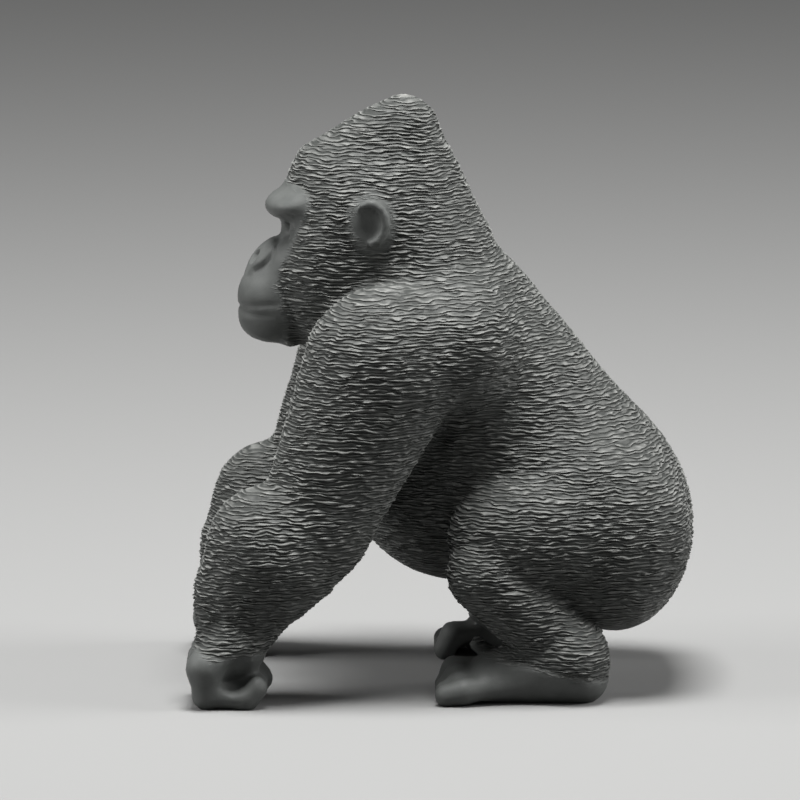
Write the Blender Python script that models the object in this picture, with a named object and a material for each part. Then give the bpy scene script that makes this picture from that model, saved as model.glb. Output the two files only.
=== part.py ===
"""Gorilla figurine, cast in one piece: a silverback on its knuckles and flat feet.

Metres, +Z up. The figure faces -Y, its left side is +X, and it stands on Z = 0.
Its masses are laid as solid primitives, joined into one skin, and that skin is then
drawn onto the smooth surface that blends the same masses, as a modeller works clay.
"""

from dataclasses import dataclass

import bmesh
import bpy
import numpy as np
from mathutils import Matrix, Vector

# Torso: (y, z) places on the middle plane, half widths and radii
RUMP = (0.0152, 0.0154)
RUMP_RADII = (0.0122, 0.0108, 0.0106)
LOIN = (0.0098, 0.0236)
LOIN_RADII = (0.0112, 0.0108, 0.0104)
THORAX = (0.0020, 0.0334)
THORAX_RADII = (0.0112, 0.0108, 0.0104)
CHEST = (-0.0034, 0.0300)
CHEST_RADII = (0.0096, 0.0088, 0.0094)
BELLY = (0.0022, 0.0222)
BELLY_RADII = (0.0100, 0.0122, 0.0120)
YOKE = (-0.0010, 0.0396)
YOKE_RADII = (0.0112, 0.0070, 0.0050)
YOKE_LEAN = 20.0
NECK_SIDE = 0.0026
NECK = (-0.0024, 0.0452)
NECK_RADIUS = 0.0048
NECK_FOOT_SIDE = 0.0080
NECK_FOOT = (0.0000, 0.0392)
TORSO_BLEND = 0.0050

# Head: the high crest, the skull under it and the neck behind
CREST_TOP = (-0.0044, 0.0572)
CREST_TOP_RADIUS = 0.0023
CREST_FRONT = (-0.0116, 0.0515)
CREST_FRONT_RADIUS = 0.0036
NAPE_TOP = (-0.0034, 0.0564)
NAPE_TOP_RADIUS = 0.0025
NAPE = (-0.0022, 0.0462)
NAPE_RADIUS = 0.0066
CROWN_TOP = (-0.0056, 0.0548)
CROWN_TOP_RADIUS = 0.0030
CROWN = (-0.0084, 0.0498)
CROWN_RADIUS = 0.0062
SKULL = (-0.0070, 0.0484)
SKULL_RADII = (0.0070, 0.0076, 0.0066)
CHEEK_SIDE = 0.0040
CHEEK = (-0.0108, 0.0424)
CHEEK_RADII = (0.0037, 0.0048, 0.0062)
THROAT = (-0.0085, 0.0395)
THROAT_RADII = (0.0062, 0.0068, 0.0070)
HEAD_BLEND = 0.0036
NECK_BLEND = 0.0030

# Face: brow, muzzle, nose and chin
BROW_SIDE = 0.0046
BROW_MIDDLE = (-0.0157, 0.0490)
BROW_END = (-0.0138, 0.0488)
BROW_RADIUS = 0.0018
MUZZLE = (-0.0152, 0.0396)
MUZZLE_RADII = (0.0050, 0.0056, 0.0050)
NOSE = (-0.0168, 0.0436)
NOSE_RADII = (0.0032, 0.0016, 0.0024)
NOSE_LEAN = -38.0
NOSE_BLEND = 0.0006
BRIDGE = (-0.0150, 0.0466)
BRIDGE_RADIUS = 0.0012
CHIN = (-0.0170, 0.0368)
CHIN_RADII = (0.0036, 0.0030, 0.0022)
FACE_BLEND = 0.0012
EYE_SIDE = 0.0031
EYE = (-0.0152, 0.0469)
EYE_SOCKET_RADII = (0.0018, 0.0014, 0.0010)
EYE_SETBACK = 0.0009
EYE_BLEND = 0.0006
EYE_RADIUS = 0.0010
NOSTRIL_SIDE = 0.0013
NOSTRIL = (-0.0186, 0.0434)
NOSTRIL_RADII = (0.0007, 0.0006, 0.0005)
MOUTH_CORNER_SIDE = 0.0048
MOUTH_CORNER = (-0.0148, 0.0374)
MOUTH_FRONT = (-0.0208, 0.0383)
LIP_SIDE = 0.0030
LIP = (-0.0196, 0.0383)
MOUTH_WIDTH = 0.00035
MOUTH_DEPTH = 0.0004

# Ears
EAR_SIDE = 0.0071
EAR = (-0.0070, 0.0482)
EAR_RADII = (0.0007, 0.0019, 0.0024)
EAR_RIM_RADIUS = 0.0006
EAR_RIM_START = -120.0
EAR_RIM_END = 150.0
EAR_RIM_POINTS = 10
EAR_FLARE = 0.0007
EAR_BLEND = 0.0006
EAR_HOLLOW_RADII = (0.0008, 0.0010, 0.0014)

# Arm: side distance of its middle and (y, z) places down its length
SHOULDER_SIDE = 0.0110
SHOULDER = (-0.0062, 0.0346)
SHOULDER_RADIUS = 0.0083
ELBOW_SIDE = 0.0126
ELBOW = (-0.0121, 0.0196)
ELBOW_RADIUS = 0.0060
FOREARM_SIDE = 0.0130
FOREARM_TOP = (-0.0126, 0.0170)
FOREARM_TOP_RADIUS = 0.0050
FOREARM = (-0.0168, 0.0152)
FOREARM_RADIUS = 0.0068
FOREARM_LOW = (-0.0197, 0.0110)
FOREARM_LOW_RADIUS = 0.0050
WRIST_SIDE = 0.0136
WRIST = (-0.0212, 0.0062)
WRIST_RADIUS = 0.0038
ARM_SQUEEZE = 0.78
SHOULDER_BLEND = 0.0030
ARM_BLEND = 0.0016

# Hand: four fingers folded under the palm and a thumb
KNUCKLE = (-0.0236, 0.0040)
KNUCKLE_RADIUS = 0.0018
FINGER_COUNT = 4
FINGER_SPACING = 0.0019
FINGER_RADIUS = 0.0012
FINGER_BEND = (-0.0236, 0.0013)
FINGER_TURN = (-0.0196, 0.0011)
FINGER_TIP = (-0.0186, 0.0021)
PALM_RADIUS = 0.0027
THUMB_SIDE = 0.0110
THUMB_ROOT = (-0.0200, 0.0048)
THUMB_TIP = (-0.0182, 0.0020)
THUMB_RADIUS = 0.0012
HAND_BLEND = 0.0008
FIST_HOLLOW_SIDE = 0.0178
FIST_HOLLOW = (-0.0208, 0.0027)
FIST_HOLLOW_RADII = (0.0036, 0.0016, 0.0010)

# Leg: side distances and (y, z) places
HIP_SIDE = 0.0092
HIP = (0.0150, 0.0160)
HIP_RADII = (0.0052, 0.0092, 0.0084)
THIGH_SIDE = 0.0112
THIGH = (0.0092, 0.0166)
THIGH_RADII = (0.0056, 0.0086, 0.0064)
KNEE_SIDE = 0.0124
KNEE = (0.0046, 0.0130)
KNEE_RADIUS = 0.0041
ANKLE_SIDE = 0.0120
ANKLE = (0.0134, 0.0044)
ANKLE_RADIUS = 0.0036
LEG_SQUEEZE = 0.95
THIGH_BLEND = 0.0012
SHANK_BLEND = 0.0007

# Foot: heel, sole and five toes
HEEL = (0.0142, 0.0024)
HEEL_RADIUS = 0.0028
BALL = (0.0048, 0.0020)
BALL_RADIUS = 0.0023
INSTEP = (0.0052, 0.0034)
INSTEP_RADIUS = 0.0017
FOOT_SQUEEZE = 1.25
TOE_COUNT = 4
TOE_SPACING = 0.0020
TOE_RADIUS = 0.0012
INNER_TOE_ROOT = (0.0046, 0.0030)
OUTER_TOE_ROOT = (0.0048, 0.0016)
INNER_TOE_BEND = (0.0014, 0.0026)
OUTER_TOE_BEND = (0.0024, 0.0014)
TOE_TIP = (0.0006, 0.0010)
BIG_TOE_SIDE = 0.0082
BIG_TOE_ROOT = (0.0060, 0.0034)
BIG_TOE_TIP = (0.0038, 0.0050)
BIG_TOE_RADIUS = 0.0008
FOOT_BLEND = 0.0010
TOE_BLEND = 0.0005

# Skin: how finely the clay is drawn out, and the flat ground under hands and feet
SKIN_STEP = 0.0005
FITTING_ROUNDS = 2
FITTING_STEPS = 4
GROUND = 0.0
MOST_TRIANGLES = 11500

RESIN_COLOUR = (0.091, 0.097, 0.093, 1.0)
RESIN_ROUGHNESS = 0.55


def length(vectors):
    """Length of each row."""
    return np.sqrt((vectors * vectors).sum(axis=1))


def smooth_union(first, second, blend):
    """Two distance fields melted together over the blend length."""
    near = np.maximum(blend - np.abs(first - second), 0.0)
    return np.minimum(first, second) - near * near / (4.0 * blend)


@dataclass
class Ball:
    """An ellipsoid mass, leaning about X by lean degrees."""

    centre: tuple
    radii: tuple
    blend: float
    lean: float = 0.0

    def rotation(self):
        """How the mass is turned, as a matrix."""
        return Matrix.Rotation(np.radians(self.lean), 3, "X")

    def distance(self, points):
        """Distance of each point to the ellipsoid, less than nothing inside."""
        local = (points - np.array(self.centre)) @ np.array(self.rotation())
        radii = np.array(self.radii)
        scaled = length(local / radii)
        slope = length(local / (radii * radii))
        return scaled * (scaled - 1.0) / np.maximum(slope, 1e-9)

    def lumps(self):
        """Placed unit spheres that make up the mass."""
        size = Matrix.Diagonal((*self.radii, 1.0))
        return [Matrix.Translation(self.centre) @ self.rotation().to_4x4() @ size]


@dataclass
class Limb:
    """A tapered round mass between two places, squeezed from side to side."""

    start: tuple
    end: tuple
    start_radius: float
    end_radius: float
    blend: float
    squeeze: float = 1.0

    def distance(self, points):
        """Distance of each point to the tapered mass, less than nothing inside."""
        narrow = np.array((self.squeeze, 1.0, 1.0))
        start = np.array(self.start)
        along = (np.array(self.end) - start) / narrow
        local = (points - start) / narrow
        share = np.clip(local @ along / (along @ along), 0.0, 1.0)
        radius = self.start_radius + (self.end_radius - self.start_radius) * share
        out = local - share[:, None] * along
        reach = np.maximum(length(out), 1e-9)
        slope = length(out / reach[:, None] / narrow)
        return (reach - radius) / slope

    def lumps(self):
        """Placed unit spheres, strung so that each overlaps the next."""
        start, end = Vector(self.start), Vector(self.end)
        steps = int((end - start).length / min(self.start_radius, self.end_radius)) + 1
        places = []
        for step in range(steps + 1):
            share = step / steps
            radius = self.start_radius + (self.end_radius - self.start_radius) * share
            size = Matrix.Diagonal((radius * self.squeeze, radius, radius, 1.0))
            places.append(Matrix.Translation(start.lerp(end, share)) @ size)
        return places


@dataclass
class Groove:
    """A soft dent that follows a line of places."""

    places: list
    width: float
    depth: float

    def dent(self, points):
        """How far the surface sinks at each point."""
        nearest = np.full(len(points), np.inf)
        for start, end in zip(self.places[:-1], self.places[1:]):
            start = np.array(start)
            along = np.array(end) - start
            share = np.clip((points - start) @ along / (along @ along), 0.0, 1.0)
            nearest = np.minimum(nearest, length(points - start - share[:, None] * along))
        return self.depth * np.exp(-((nearest / self.width) ** 2))


def melt(masses, points):
    """One distance field of masses, each melted into those before it by its own blend."""
    field = masses[0].distance(points)
    for mass in masses[1:]:
        field = smooth_union(field, mass.distance(points), mass.blend)
    return field


def carve(field, hollows, points):
    """The field with each hollow taken out of it, rounded at the hollow's rim."""
    for hollow in hollows:
        field = -smooth_union(-field, hollow.distance(points), hollow.blend)
    return field


def torso():
    """Rump, loin, rib cage, chest, hanging belly, yoke of the shoulders, haunches and neck."""
    shapes = (
        (THORAX, THORAX_RADII),
        (LOIN, LOIN_RADII),
        (RUMP, RUMP_RADII),
        (CHEST, CHEST_RADII),
        (BELLY, BELLY_RADII),
    )
    masses = [Ball((0.0, *place), radii, TORSO_BLEND) for place, radii in shapes]
    masses.append(Ball((0.0, *YOKE), YOKE_RADII, TORSO_BLEND, YOKE_LEAN))
    masses.append(Ball((HIP_SIDE, *HIP), HIP_RADII, TORSO_BLEND))
    neck = (NECK_SIDE, *NECK)
    neck_foot = (NECK_FOOT_SIDE, *NECK_FOOT)
    masses.append(Limb(neck, neck_foot, NECK_RADIUS, NECK_RADIUS, TORSO_BLEND))
    return masses


def head():
    """Crest, skull, nape, cheeks and throat."""
    crest_top = (0.0, *CREST_TOP)
    crest_front = (0.0, *CREST_FRONT)
    return [
        Limb(crest_top, crest_front, CREST_TOP_RADIUS, CREST_FRONT_RADIUS, HEAD_BLEND),
        Limb((0.0, *NAPE_TOP), (0.0, *NAPE), NAPE_TOP_RADIUS, NAPE_RADIUS, HEAD_BLEND),
        Limb((0.0, *CROWN_TOP), (0.0, *CROWN), CROWN_TOP_RADIUS, CROWN_RADIUS, HEAD_BLEND),
        Ball((0.0, *SKULL), SKULL_RADII, HEAD_BLEND),
        Ball((CHEEK_SIDE, *CHEEK), CHEEK_RADII, HEAD_BLEND),
        Ball((0.0, *THROAT), THROAT_RADII, HEAD_BLEND),
    ]


def face():
    """Brow ridge, nose bridge, muzzle, nose and chin."""
    brow_end = (BROW_SIDE, *BROW_END)
    return [
        Ball((0.0, *MUZZLE), MUZZLE_RADII, FACE_BLEND),
        Limb((0.0, *BROW_MIDDLE), brow_end, BROW_RADIUS, BROW_RADIUS, FACE_BLEND),
        Limb((0.0, *BRIDGE), (0.0, *NOSE), BRIDGE_RADIUS, BRIDGE_RADIUS, FACE_BLEND),
        Ball((0.0, *NOSE), NOSE_RADII, NOSE_BLEND, NOSE_LEAN),
        Ball((0.0, *CHIN), CHIN_RADII, FACE_BLEND),
    ]


def eye():
    """The eyeball, set back in its socket."""
    centre = (EYE_SIDE, EYE[0] + EYE_SETBACK, EYE[1])
    return [Ball(centre, (EYE_RADIUS, EYE_RADIUS, EYE_RADIUS), EYE_BLEND)]


def face_hollows():
    """Eye sockets and nostrils, taken out of the face."""
    return [
        Ball((EYE_SIDE, *EYE), EYE_SOCKET_RADII, EYE_BLEND),
        Ball((NOSTRIL_SIDE, *NOSTRIL), NOSTRIL_RADII, EYE_BLEND),
    ]


def ear():
    """A thin leaf with a rolled rim."""
    centre = Vector((EAR_SIDE, *EAR))
    masses = [Ball(tuple(centre), EAR_RADII, EAR_BLEND)]
    _, deep, high = EAR_RADII
    turns = np.radians(np.linspace(EAR_RIM_START, EAR_RIM_END, EAR_RIM_POINTS))
    rim = [centre + Vector((EAR_FLARE, deep * np.cos(turn), high * np.sin(turn))) for turn in turns]
    for start, end in zip(rim[:-1], rim[1:]):
        masses.append(Limb(tuple(start), tuple(end), EAR_RIM_RADIUS, EAR_RIM_RADIUS, EAR_BLEND))
    return masses


def ear_hollow():
    """The bowl of the ear."""
    return [Ball((EAR_SIDE + EAR_FLARE, *EAR), EAR_HOLLOW_RADII, EAR_BLEND)]


def mouth():
    """The closed lips' line, from corner to corner."""
    places = [(0.0, *MOUTH_FRONT), (LIP_SIDE, *LIP), (MOUTH_CORNER_SIDE, *MOUTH_CORNER)]
    return Groove(places, MOUTH_WIDTH, MOUTH_DEPTH)


def arm():
    """Shoulder, upper arm and the heavy forearm down to the wrist."""
    shoulder = (SHOULDER_SIDE, *SHOULDER)
    elbow = (ELBOW_SIDE, *ELBOW)
    forearm_top = (FOREARM_SIDE, *FOREARM_TOP)
    forearm = (FOREARM_SIDE, *FOREARM)
    forearm_low = (FOREARM_SIDE, *FOREARM_LOW)
    wrist = (WRIST_SIDE, *WRIST)
    return [
        Limb(shoulder, elbow, SHOULDER_RADIUS, ELBOW_RADIUS, ARM_BLEND, ARM_SQUEEZE),
        Limb(forearm_top, forearm, FOREARM_TOP_RADIUS, FOREARM_RADIUS, ARM_BLEND, ARM_SQUEEZE),
        Limb(forearm, forearm_low, FOREARM_RADIUS, FOREARM_LOW_RADIUS, ARM_BLEND, ARM_SQUEEZE),
        Limb(forearm_low, wrist, FOREARM_LOW_RADIUS, WRIST_RADIUS, ARM_BLEND, ARM_SQUEEZE),
    ]


def hand():
    """Back of the hand, folded fingers and thumb."""
    middle = (FINGER_COUNT - 1) / 2
    masses = []
    for finger in range(FINGER_COUNT):
        side = WRIST_SIDE + (finger - middle) * FINGER_SPACING
        palm = (WRIST_SIDE + (finger - middle) * FINGER_SPACING / 2, *WRIST)
        knuckle = (side, *KNUCKLE)
        bend = (side, *FINGER_BEND)
        turn = (side, *FINGER_TURN)
        tip = (side, *FINGER_TIP)
        masses += [
            Limb(palm, knuckle, PALM_RADIUS, KNUCKLE_RADIUS, HAND_BLEND),
            Limb(knuckle, bend, KNUCKLE_RADIUS, FINGER_RADIUS, HAND_BLEND),
            Limb(bend, turn, FINGER_RADIUS, FINGER_RADIUS, HAND_BLEND),
            Limb(turn, tip, FINGER_RADIUS, FINGER_RADIUS, HAND_BLEND),
        ]
    thumb_root = (THUMB_SIDE, *THUMB_ROOT)
    thumb_tip = (THUMB_SIDE, *THUMB_TIP)
    masses.append(Limb(thumb_root, thumb_tip, THUMB_RADIUS, THUMB_RADIUS, HAND_BLEND))
    return masses


def fist_hollow():
    """The dark hollow between palm and folded fingers, open to the outer side."""
    return [Ball((FIST_HOLLOW_SIDE, *FIST_HOLLOW), FIST_HOLLOW_RADII, HAND_BLEND)]


def thigh():
    """The thigh, folded forward along the belly."""
    return [Ball((THIGH_SIDE, *THIGH), THIGH_RADII, THIGH_BLEND)]


def shank():
    """Knee and shank, running back and down to the ankle, with the heel and sole."""
    knee = (KNEE_SIDE, *KNEE)
    ankle = (ANKLE_SIDE, *ANKLE)
    heel = (ANKLE_SIDE, *HEEL)
    ball = (ANKLE_SIDE, *BALL)
    instep = (ANKLE_SIDE, *INSTEP)
    return [
        Limb(knee, ankle, KNEE_RADIUS, ANKLE_RADIUS, FOOT_BLEND, LEG_SQUEEZE),
        Limb(heel, ball, HEEL_RADIUS, BALL_RADIUS, FOOT_BLEND, FOOT_SQUEEZE),
        Limb(ankle, instep, ANKLE_RADIUS, INSTEP_RADIUS, FOOT_BLEND, FOOT_SQUEEZE),
    ]


def between(first, second, share):
    """The place at this share of the way from the first place to the second."""
    return tuple(Vector(first).lerp(Vector(second), share))


def toes():
    """Curled toes, lower towards the outer side, and the big toe standing off inside them."""
    masses = []
    for toe in range(TOE_COUNT):
        share = toe / (TOE_COUNT - 1)
        side = ANKLE_SIDE + (share - 0.5) * (TOE_COUNT - 1) * TOE_SPACING
        root = (side, *between(INNER_TOE_ROOT, OUTER_TOE_ROOT, share))
        bend = (side, *between(INNER_TOE_BEND, OUTER_TOE_BEND, share))
        masses.append(Limb(root, bend, TOE_RADIUS, TOE_RADIUS, TOE_BLEND))
        masses.append(Limb(bend, (side, *TOE_TIP), TOE_RADIUS, TOE_RADIUS, TOE_BLEND))
    root = (BIG_TOE_SIDE, *BIG_TOE_ROOT)
    tip = (BIG_TOE_SIDE, *BIG_TOE_TIP)
    masses.append(Limb(root, tip, BIG_TOE_RADIUS, BIG_TOE_RADIUS, TOE_BLEND))
    return masses


def all_masses():
    """Every mass of the left half and the middle, for the first rough skin."""
    groups = (torso(), head(), face(), ear(), arm(), hand(), thigh(), shank(), toes())
    return [mass for group in groups for mass in group]


def surface(points):
    """Distance of each point to the finished surface, less than nothing inside."""
    half = points.copy()
    half[:, 0] = np.abs(half[:, 0])
    field = smooth_union(melt(torso(), half), melt(head(), half), NECK_BLEND)
    muzzle = melt(face(), half)
    field = smooth_union(field, muzzle, FACE_BLEND)
    field = carve(field, face_hollows(), half)
    field = smooth_union(field, melt(eye(), half), EYE_BLEND)
    field = field + mouth().dent(half)
    leaf = carve(melt(ear(), half), ear_hollow(), half)
    field = smooth_union(field, leaf, EAR_BLEND)
    fist = carve(melt(hand(), half), fist_hollow(), half)
    limb = smooth_union(melt(arm(), half), fist, HAND_BLEND)
    field = smooth_union(field, limb, SHOULDER_BLEND)
    field = smooth_union(field, melt(thigh(), half), THIGH_BLEND)
    leg = smooth_union(melt(shank(), half), melt(toes(), half), TOE_BLEND)
    return smooth_union(field, leg, SHANK_BLEND)


def fit(mesh):
    """Draws every vertex of the skin along its normal onto the smooth surface."""
    count = len(mesh.vertices) * 3
    points = np.empty(count)
    normals = np.empty(count)
    for _ in range(FITTING_STEPS):
        mesh.vertices.foreach_get("co", points)
        mesh.vertices.foreach_get("normal", normals)
        places = points.reshape(-1, 3)
        gap = np.clip(surface(places), -SKIN_STEP, SKIN_STEP)
        places = places - gap[:, None] * normals.reshape(-1, 3)
        mesh.vertices.foreach_set("co", places.ravel())
        mesh.update()


def apply_modifiers(figure):
    """Makes the modified shape the object's own mesh."""
    graph = bpy.context.evaluated_depsgraph_get()
    shaped = bpy.data.meshes.new_from_object(figure.evaluated_get(graph))
    rough = figure.data
    figure.modifiers.clear()
    figure.data = shaped
    bpy.data.meshes.remove(rough)


def reskin(figure):
    """One even skin over whatever the object holds."""
    skin = figure.modifiers.new("Skin", "REMESH")
    skin.mode = "VOXEL"
    skin.voxel_size = SKIN_STEP
    apply_modifiers(figure)


def rough_figure():
    """All masses and their mirror images as overlapping closed spheres."""
    ball = bmesh.new()
    bmesh.ops.create_icosphere(ball, subdivisions=3, radius=1.0)
    unit = bpy.data.meshes.new("unit ball")
    ball.to_mesh(unit)
    ball.free()
    clay = bmesh.new()
    for lump in [lump for mass in all_masses() for lump in mass.lumps()]:
        for side in (1.0, -1.0):
            placed = unit.copy()
            placed.transform(Matrix.Diagonal((side, 1.0, 1.0, 1.0)) @ lump)
            if side < 0.0:
                placed.flip_normals()
            clay.from_mesh(placed)
            bpy.data.meshes.remove(placed)
    bpy.data.meshes.remove(unit)
    mesh = bpy.data.meshes.new("gorilla")
    clay.to_mesh(mesh)
    clay.free()
    figure = bpy.data.objects.new("gorilla", mesh)
    bpy.context.scene.collection.objects.link(figure)
    return figure


def level_ground(figure):
    """Cuts hands and feet off flat at the ground."""
    shape = bmesh.new()
    shape.from_mesh(figure.data)
    cut = bmesh.ops.bisect_plane(
        shape,
        geom=list(shape.verts) + list(shape.edges) + list(shape.faces),
        plane_co=(0.0, 0.0, GROUND),
        plane_no=(0.0, 0.0, 1.0),
        clear_inner=True,
    )
    edges = [item for item in cut["geom_cut"] if isinstance(item, bmesh.types.BMEdge)]
    bmesh.ops.edgeloop_fill(shape, edges=edges)
    bmesh.ops.triangulate(shape, faces=list(shape.faces))
    shape.to_mesh(figure.data)
    shape.free()


def thin_out(figure):
    """Leaves out vertices where the surface is nearly flat."""
    total = sum(len(face.vertices) - 2 for face in figure.data.polygons)
    thinner = figure.modifiers.new("Thin", "DECIMATE")
    thinner.ratio = min(1.0, MOST_TRIANGLES / total)
    apply_modifiers(figure)


def resin():
    """Dull dark grey casting resin."""
    material = bpy.data.materials.new("dark grey resin")
    material.use_nodes = True
    shader = material.node_tree.nodes["Principled BSDF"]
    shader.inputs["Base Color"].default_value = RESIN_COLOUR
    shader.inputs["Roughness"].default_value = RESIN_ROUGHNESS
    shader.inputs["Metallic"].default_value = 0.0
    return material


def clear_scene():
    """Removes every object that the scene starts with."""
    for item in list(bpy.data.objects):
        bpy.data.objects.remove(item, do_unlink=True)


def main():
    """Models the figure: rough skin, smooth skin, thinned skin, level feet, colour."""
    clear_scene()
    figure = rough_figure()
    for _ in range(FITTING_ROUNDS):
        reskin(figure)
        fit(figure.data)
    thin_out(figure)
    level_ground(figure)
    figure.data.name = "gorilla"
    figure.data.materials.append(resin())
    figure.data.shade_smooth()


main()
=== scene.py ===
"""Looks of the cast gorilla figurine: a combed coat with bare face, ears, hands and feet.

Metres, +Z up. The figure faces -Y, its left side is +X, and it stands on Z = 0. It is
sculpted as round masses melted into one skin, and the coat is then combed into that skin.
"""

import logging
import math
from collections.abc import Sequence
from dataclasses import dataclass
from enum import Enum
from itertools import pairwise

import bmesh
import bpy
import numpy as np
from mathutils import Matrix, Vector

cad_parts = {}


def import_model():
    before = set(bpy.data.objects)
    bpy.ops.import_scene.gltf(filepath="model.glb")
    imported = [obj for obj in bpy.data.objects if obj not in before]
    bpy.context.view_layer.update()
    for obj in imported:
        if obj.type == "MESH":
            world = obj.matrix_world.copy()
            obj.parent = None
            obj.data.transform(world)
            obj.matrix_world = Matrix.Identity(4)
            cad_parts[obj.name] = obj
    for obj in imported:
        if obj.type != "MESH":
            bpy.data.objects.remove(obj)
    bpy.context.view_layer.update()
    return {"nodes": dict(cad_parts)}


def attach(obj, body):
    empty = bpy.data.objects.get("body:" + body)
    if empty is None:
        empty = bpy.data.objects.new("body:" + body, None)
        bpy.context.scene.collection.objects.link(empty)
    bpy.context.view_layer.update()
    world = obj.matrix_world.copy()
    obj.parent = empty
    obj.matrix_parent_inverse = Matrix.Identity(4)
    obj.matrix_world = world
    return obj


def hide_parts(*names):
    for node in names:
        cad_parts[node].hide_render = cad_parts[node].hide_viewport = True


NODE = "gorilla"
BODY = "root"
BARE = "bare"
PIECE = "gorilla_casting"
TINY = 1e-9

Place = tuple[float, float]
Point = tuple[float, float, float]
Rows = np.ndarray
Object = bpy.types.Object
Socket = bpy.types.NodeSocket

log = logging.getLogger("figurine")


def lengths(vectors: Rows) -> Rows:
    """Length of each row."""
    return np.sqrt((vectors * vectors).sum(axis=1))


def from_line(local: Rows, along: Rows) -> tuple[Rows, Rows]:
    """Finds the nearest point of a line that starts at the origin.

    Args:
        local: One place a row.
        along: The line's end.

    Returns:
        How far along the line that point is, as a share, and the way from it to each place.
    """
    share = np.clip(local @ along / (along @ along), 0.0, 1.0)
    return share, local - share[:, None] * along


def between(first: Place, last: Place, share: float) -> Place:
    """Finds the place that lies a share of the way from first to last."""
    return tuple(Vector(first).lerp(Vector(last), share))


def read_vertices(mesh: bpy.types.Mesh, name: str) -> Rows:
    """Reads one vector of each vertex.

    Args:
        mesh: The mesh.
        name: Which vector: its place or its normal.

    Returns:
        One vector a row.
    """
    values = np.empty(len(mesh.vertices) * 3)
    mesh.vertices.foreach_get(name, values)
    return values.reshape(-1, 3)


def add_object(name: str, data: bpy.types.ID) -> Object:
    """Puts a mesh, lamp or camera into the scene.

    Args:
        name: The new object's name.
        data: What it shows.

    Returns:
        The new object.
    """
    item = bpy.data.objects.new(name, data)
    bpy.context.scene.collection.objects.link(item)
    return item


def melt_two(first: Rows, second: Rows, blend: float) -> Rows:
    """Melts two distance fields together.

    Args:
        first: Distance of each point to the first shape.
        second: Distance of each point to the second shape.
        blend: Length over which the two shapes flow into each other.

    Returns:
        Distance of each point to the melted shape.
    """
    near = np.maximum(blend - np.abs(first - second), 0.0)
    return np.minimum(first, second) - near * near / (4.0 * blend)


@dataclass(frozen=True)
class Ball:
    """An ellipsoid mass, leaning about X by lean degrees."""

    centre: Point
    radii: Point
    blend: float
    lean: float = 0.0

    def distance(self, points: Rows) -> Rows:
        """Measures how far points are from the mass.

        Args:
            points: One place a row.

        Returns:
            Distance of each place, less than nothing inside.
        """
        turned = np.array(Matrix.Rotation(math.radians(self.lean), 3, "X"))
        local = (points - np.array(self.centre)) @ turned
        radii = np.array(self.radii)
        scaled = lengths(local / radii)
        slope = lengths(local / (radii * radii))
        return scaled * (scaled - 1.0) / np.maximum(slope, TINY)


@dataclass(frozen=True)
class Limb:
    """A tapered round mass between two places, squeezed from side to side."""

    start: Point
    end: Point
    start_radius: float
    end_radius: float
    blend: float
    squeeze: float = 1.0

    def distance(self, points: Rows) -> Rows:
        """Measures how far points are from the mass.

        Args:
            points: One place a row.

        Returns:
            Distance of each place, less than nothing inside.
        """
        narrow = np.array((self.squeeze, 1.0, 1.0))
        start = np.array(self.start)
        share, out = from_line((points - start) / narrow, (np.array(self.end) - start) / narrow)
        radius = self.start_radius + (self.end_radius - self.start_radius) * share
        reach = np.maximum(lengths(out), TINY)
        slope = lengths(out / reach[:, None] / narrow)
        return (reach - radius) / slope


@dataclass(frozen=True)
class Groove:
    """A soft dent that follows a line of places."""

    places: tuple[Point, ...]
    width: float
    depth: float

    def dent(self, points: Rows) -> Rows:
        """Measures the dent.

        Args:
            points: One place a row.

        Returns:
            How far the skin sinks at each place.
        """
        nearest = np.full(len(points), np.inf)
        for start, end in pairwise(np.array(self.places)):
            _, out = from_line(points - start, end - start)
            nearest = np.minimum(nearest, lengths(out))
        return self.depth * np.exp(-((nearest / self.width) ** 2))


Mass = Ball | Limb


def melt_in(field: Rows, masses: Sequence[Mass], points: Rows) -> Rows:
    """Melts masses into a field, each by its own blend.

    Args:
        field: Distance of each place to the shape so far.
        masses: What is melted in.
        points: One place a row.

    Returns:
        Distance of each place to the melted shape.
    """
    for mass in masses:
        field = melt_two(field, mass.distance(points), mass.blend)
    return field


def melt(masses: Sequence[Mass], points: Rows) -> Rows:
    """Melts masses into one field, the largest first."""
    return melt_in(masses[0].distance(points), masses[1:], points)


def carve(field: Rows, hollows: Sequence[Mass], points: Rows) -> Rows:
    """Takes hollows out of a field, rounded at their rims.

    Args:
        field: Distance of each place to the shape.
        hollows: What is taken out.
        points: One place a row.

    Returns:
        Distance of each place to the carved shape.
    """
    for hollow in hollows:
        field = -melt_two(-field, hollow.distance(points), hollow.blend)
    return field


def fade(distance: Rows, width: float) -> Rows:
    """Turns a distance into a share: one well inside, nothing well outside.

    Args:
        distance: Distance of each place to an edge, less than nothing inside.
        width: Length over which the share changes.

    Returns:
        Share of each place, from nothing to one.
    """
    return np.clip(0.5 - distance / width, 0.0, 1.0)


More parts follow.
